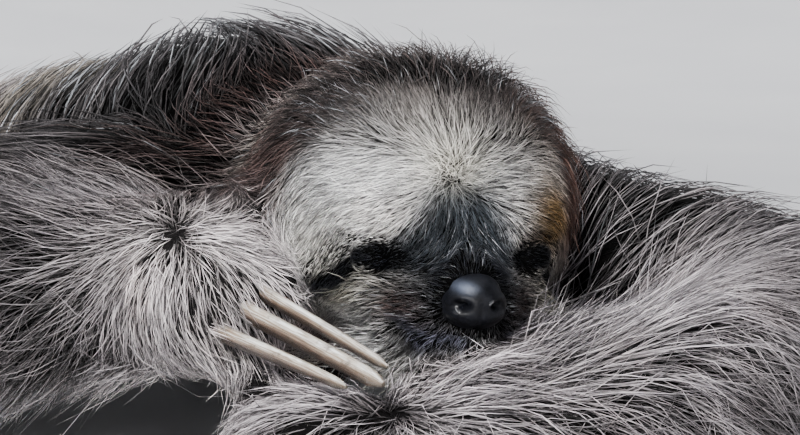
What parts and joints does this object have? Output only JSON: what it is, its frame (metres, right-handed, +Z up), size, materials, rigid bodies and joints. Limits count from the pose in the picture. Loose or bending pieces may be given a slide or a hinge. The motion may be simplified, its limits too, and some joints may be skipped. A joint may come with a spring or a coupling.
{
  "type": "three-toed sloth model",
  "caption": "Life-size still model of a brown-throated three-toed sloth asleep on its belly, chin resting on one folded forearm.",
  "frame": {"origin": "middle of the model's box, on the floor that it lies on", "axes": "+Z up; the trunk lies along Y with the head at -Y and the tail at +Y; the animal's left side is at +X"},
  "size_m": [0.3992, 0.6132, 0.135],
  "materials": {
    "coat": "coarse, shaggy hair: pinkish grey-brown over a dark undercoat, pale cream on the face and brow",
    "nose_pad": "moist black skin, finely grained and glossy",
    "eye": "wet dark brown, under nearly closed lids",
    "claw": "smooth ivory horn with fine pinkish-brown streaks along it"
  },
  "bodies": {
    "root": {"head": "coat", "neck": "coat", "trunk": "coat", "tail": "coat", "upper_arm_left": "coat", "forearm_left": "coat", "hand_left": "coat", "thigh_left": "coat", "shin_left": "coat", "foot_left": "coat", "upper_arm_right": "coat", "forearm_right": "coat", "hand_right": "coat", "thigh_right": "coat", "shin_right": "coat", "foot_right": "coat", "nose": "nose_pad", "eye_left": "eye", "eye_right": "eye", "hand_claw_left_1": "claw", "hand_claw_left_2": "claw", "hand_claw_left_3": "claw", "hand_claw_right_1": "claw", "hand_claw_right_2": "claw", "hand_claw_right_3": "claw", "foot_claw_left_1": "claw", "foot_claw_left_2": "claw", "foot_claw_left_3": "claw", "foot_claw_right_1": "claw", "foot_claw_right_2": "claw", "foot_claw_right_3": "claw"}
  },
  "joints": []
}
